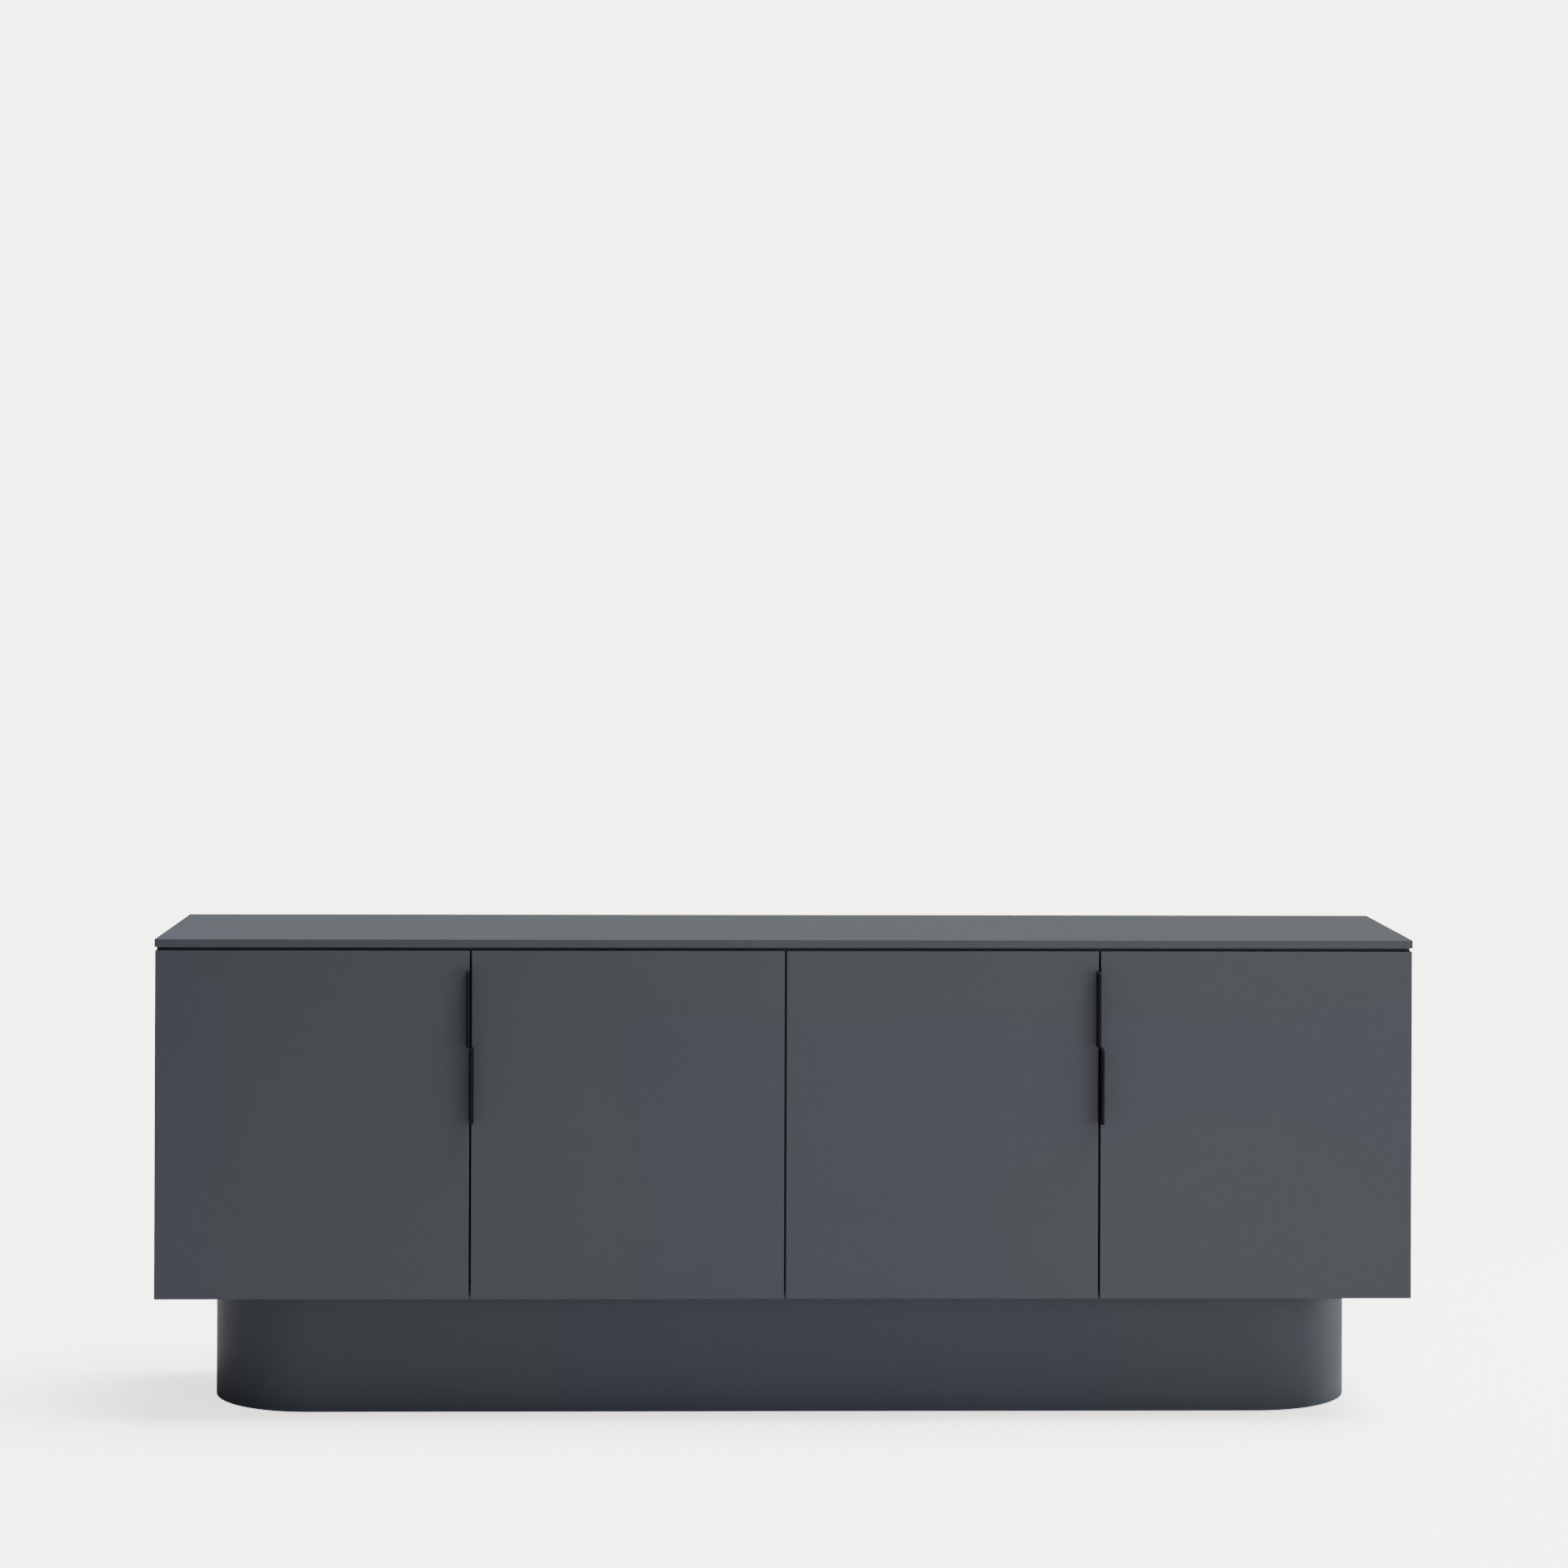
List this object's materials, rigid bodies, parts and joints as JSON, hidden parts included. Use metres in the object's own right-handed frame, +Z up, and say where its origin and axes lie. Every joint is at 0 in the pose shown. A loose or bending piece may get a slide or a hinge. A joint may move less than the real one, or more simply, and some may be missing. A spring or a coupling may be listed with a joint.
{
  "type": "sideboard",
  "caption": "Long low sideboard with flat lacquered doors, slim black edge grips, a thin overhanging top and a set-back plinth with round ends.",
  "frame": {"origin": "on the floor, under the centre of the overall box, handles included", "axes": "+X to the viewer's right along the front, +Y from the doors to the back, +Z up"},
  "size_m": [2, 0.446, 0.772],
  "materials": {
    "slate_lacquer": "satin",
    "plinth_lacquer": "satin",
    "slate_board": "matte",
    "raw_board": "matte",
    "beech": "matte",
    "black_metal": "satin",
    "plated_steel": "satin",
    "black_plastic": "matte",
    "slate_plastic": "matte",
    "soft_bumper": "satin"
  },
  "bodies": {
    "carcass": {"top_panel": "slate_lacquer", "side_panel_left": "slate_lacquer", "side_panel_right": "slate_lacquer", "bottom_panel": "slate_board", "centre_partition": "slate_board", "back_panel": "slate_board", "front_top_rails": "slate_board", "rear_top_rails": "slate_board", "shelf_left": "slate_board", "shelf_right": "slate_board", "shelf_pins": "plated_steel", "dowels": "beech", "cam_bolts": "plated_steel", "cam_locks": "plated_steel", "top_fixing_screws": "plated_steel", "back_panel_screws": "plated_steel", "plinth_front_skin": "plinth_lacquer", "plinth_back_board": "plinth_lacquer", "plinth_top_frame": "raw_board", "plinth_bottom_frame": "raw_board", "plinth_ribs": "raw_board", "plinth_screws": "plated_steel", "screw_caps": "slate_plastic", "plinth_glides": "black_plastic", "door_bumpers": "soft_bumper", "hinge_plates": "plated_steel", "hinge_plate_screws": "plated_steel", "hinge_arms": "plated_steel", "hinge_arm_screws": "plated_steel", "hinge_arm_pins": "plated_steel"},
    "door_1": {"door_1_panel": "slate_lacquer", "door_1_handle": "black_metal", "door_1_handle_screws": "black_metal", "door_1_hinge_cups": "plated_steel", "door_1_cup_pins": "plated_steel", "door_1_cup_screws": "plated_steel"},
    "door_1_hinge_links": {"door_1_hinge_links": "plated_steel"},
    "door_2": {"door_2_panel": "slate_lacquer", "door_2_handle": "black_metal", "door_2_handle_screws": "black_metal", "door_2_hinge_cups": "plated_steel", "door_2_cup_pins": "plated_steel", "door_2_cup_screws": "plated_steel"},
    "door_2_hinge_links": {"door_2_hinge_links": "plated_steel"},
    "door_3": {"door_3_panel": "slate_lacquer", "door_3_handle": "black_metal", "door_3_handle_screws": "black_metal", "door_3_hinge_cups": "plated_steel", "door_3_cup_pins": "plated_steel", "door_3_cup_screws": "plated_steel"},
    "door_3_hinge_links": {"door_3_hinge_links": "plated_steel"},
    "door_4": {"door_4_panel": "slate_lacquer", "door_4_handle": "black_metal", "door_4_handle_screws": "black_metal", "door_4_hinge_cups": "plated_steel", "door_4_cup_pins": "plated_steel", "door_4_cup_screws": "plated_steel"},
    "door_4_hinge_links": {"door_4_hinge_links": "plated_steel"}
  },
  "joints": [
    {"name": "door_1_link_swing", "type": "hinge", "parent": "carcass", "child": "door_1_hinge_links", "pos_m": [-0.97, -0.1605, 0.4775], "axis": [0, 0, -1], "range_deg": [-14.3, 0]},
    {"name": "door_1_swing", "type": "hinge", "parent": "door_1_hinge_links", "child": "door_1", "pos_m": [-0.9895, -0.187, 0.4775], "axis": [0, 0, -1], "range_deg": [0, 109.25]},
    {"name": "door_2_link_swing", "type": "hinge", "parent": "carcass", "child": "door_2_hinge_links", "pos_m": [-0.0305, -0.1605, 0.4775], "axis": [0, 0, 1], "range_deg": [-12.95, 0]},
    {"name": "door_2_swing", "type": "hinge", "parent": "door_2_hinge_links", "child": "door_2", "pos_m": [-0.011, -0.187, 0.4775], "axis": [0, 0, 1], "range_deg": [0, 98.9]},
    {"name": "door_3_link_swing", "type": "hinge", "parent": "carcass", "child": "door_3_hinge_links", "pos_m": [0.0305, -0.1605, 0.4775], "axis": [0, 0, -1], "range_deg": [-12.95, 0]},
    {"name": "door_3_swing", "type": "hinge", "parent": "door_3_hinge_links", "child": "door_3", "pos_m": [0.011, -0.187, 0.4775], "axis": [0, 0, -1], "range_deg": [0, 98.9]},
    {"name": "door_4_link_swing", "type": "hinge", "parent": "carcass", "child": "door_4_hinge_links", "pos_m": [0.97, -0.1605, 0.4775], "axis": [0, 0, 1], "range_deg": [-14.3, 0]},
    {"name": "door_4_swing", "type": "hinge", "parent": "door_4_hinge_links", "child": "door_4", "pos_m": [0.9895, -0.187, 0.4775], "axis": [0, 0, 1], "range_deg": [0, 109.25]}
  ],
  "couplings": [
    {"joint": "door_1_link_swing", "follows": "door_1_swing", "ratio": -0.13043},
    {"joint": "door_2_link_swing", "follows": "door_2_swing", "ratio": -0.13043},
    {"joint": "door_3_link_swing", "follows": "door_3_swing", "ratio": -0.13043},
    {"joint": "door_4_link_swing", "follows": "door_4_swing", "ratio": -0.13043}
  ]
}
